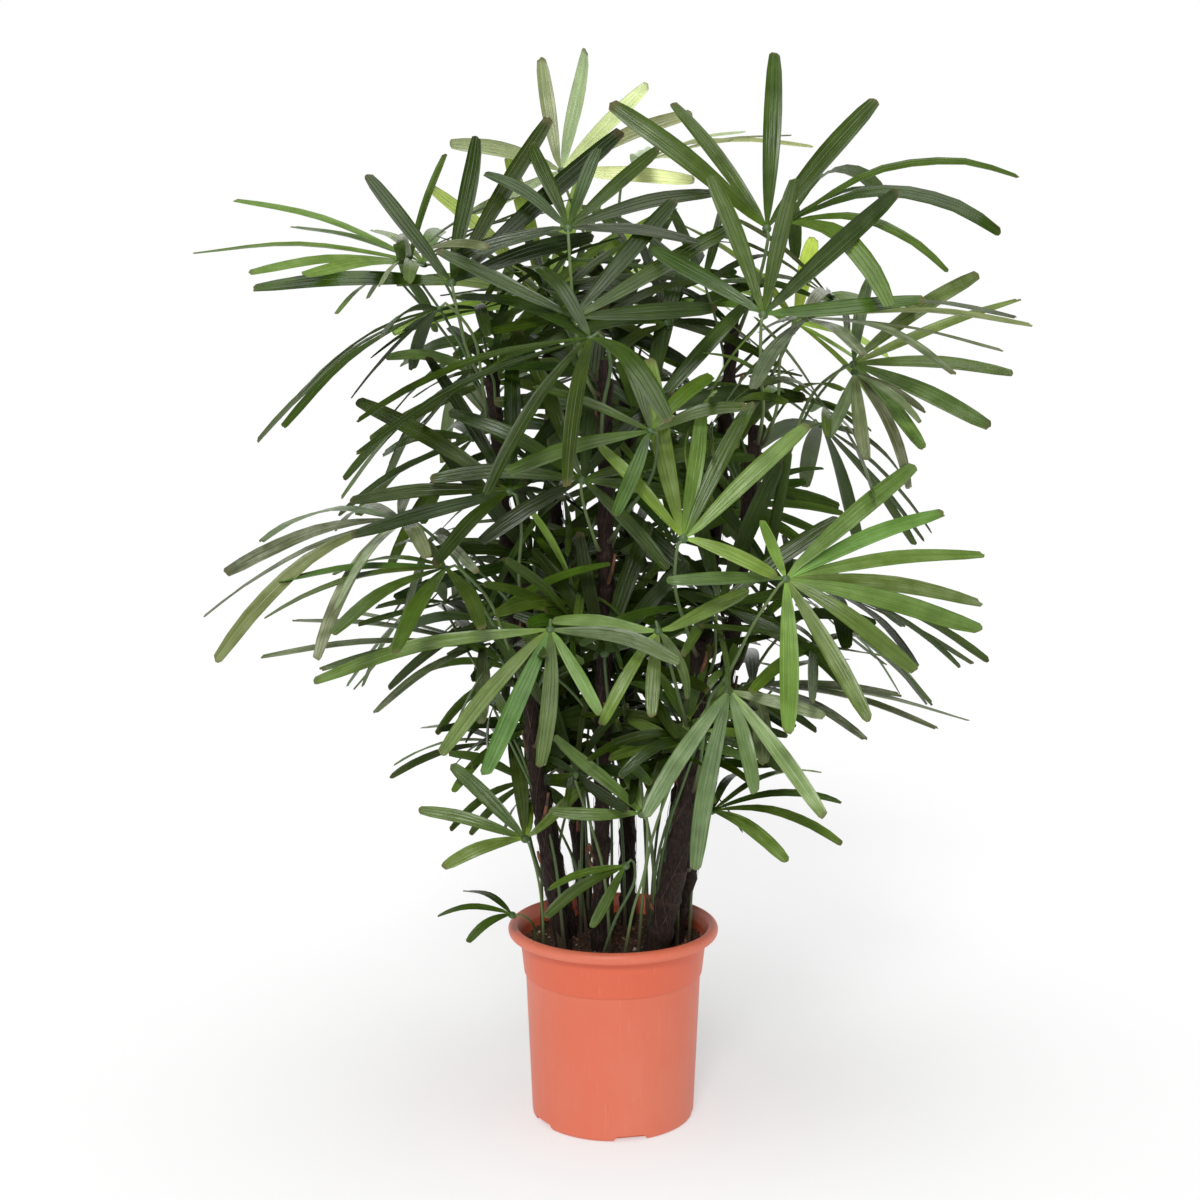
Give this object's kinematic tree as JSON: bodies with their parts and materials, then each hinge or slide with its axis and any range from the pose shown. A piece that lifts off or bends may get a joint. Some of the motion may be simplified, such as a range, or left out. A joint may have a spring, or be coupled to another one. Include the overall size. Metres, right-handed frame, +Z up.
{
  "type": "potted lady palm",
  "caption": "Clump-forming lady palm with fibre-clad canes and fans of blunt leaflets on slender stalks, growing in a tapered, terracotta-coloured plastic pot.",
  "frame": {"origin": "middle of the pot's flat underside, on the floor", "axes": "+Z up, -Y the plant's front as pictured, +X to the right seen from the front"},
  "size_m": [0.9202, 0.8467, 1.2131],
  "materials": {
    "pot": "satin moulded terracotta-coloured plastic",
    "soil": "damp crumbly potting soil",
    "canes": "dark matted fibre over slim canes",
    "fronds": "ribbed leathery green leaflets with a satin face"
  },
  "bodies": {
    "root": {"pot": "pot", "soil": "soil", "cane_left": "canes", "cane_back_left": "canes", "cane_back": "canes", "cane_back_right": "canes", "cane_right": "canes", "cane_front_right": "canes", "cane_front": "canes", "cane_front_left": "canes", "frond_left_1": "fronds", "frond_left_2": "fronds", "frond_left_3": "fronds", "frond_left_4": "fronds", "frond_left_5": "fronds", "frond_left_6": "fronds", "frond_back_left_1": "fronds", "frond_back_left_2": "fronds", "frond_back_left_3": "fronds", "frond_back_left_4": "fronds", "frond_back_left_5": "fronds", "frond_back_1": "fronds", "frond_back_2": "fronds", "frond_back_3": "fronds", "frond_back_4": "fronds", "frond_back_5": "fronds", "frond_back_right_1": "fronds", "frond_back_right_2": "fronds", "frond_back_right_3": "fronds", "frond_back_right_4": "fronds", "frond_back_right_5": "fronds", "frond_back_right_6": "fronds", "frond_right_1": "fronds", "frond_right_2": "fronds", "frond_right_3": "fronds", "frond_right_4": "fronds", "frond_right_5": "fronds", "frond_right_6": "fronds", "frond_front_right_1": "fronds", "frond_front_right_2": "fronds", "frond_front_right_3": "fronds", "frond_front_right_4": "fronds", "frond_front_right_5": "fronds", "frond_front_right_6": "fronds", "frond_front_1": "fronds", "frond_front_2": "fronds", "frond_front_3": "fronds", "frond_front_4": "fronds", "frond_front_5": "fronds", "frond_front_6": "fronds", "frond_front_left_1": "fronds", "frond_front_left_2": "fronds", "frond_front_left_3": "fronds", "frond_front_left_4": "fronds", "frond_front_left_5": "fronds", "frond_front_left_6": "fronds", "frond_shoot_1": "fronds", "frond_shoot_2": "fronds", "frond_shoot_3": "fronds", "frond_shoot_4": "fronds"}
  },
  "joints": []
}
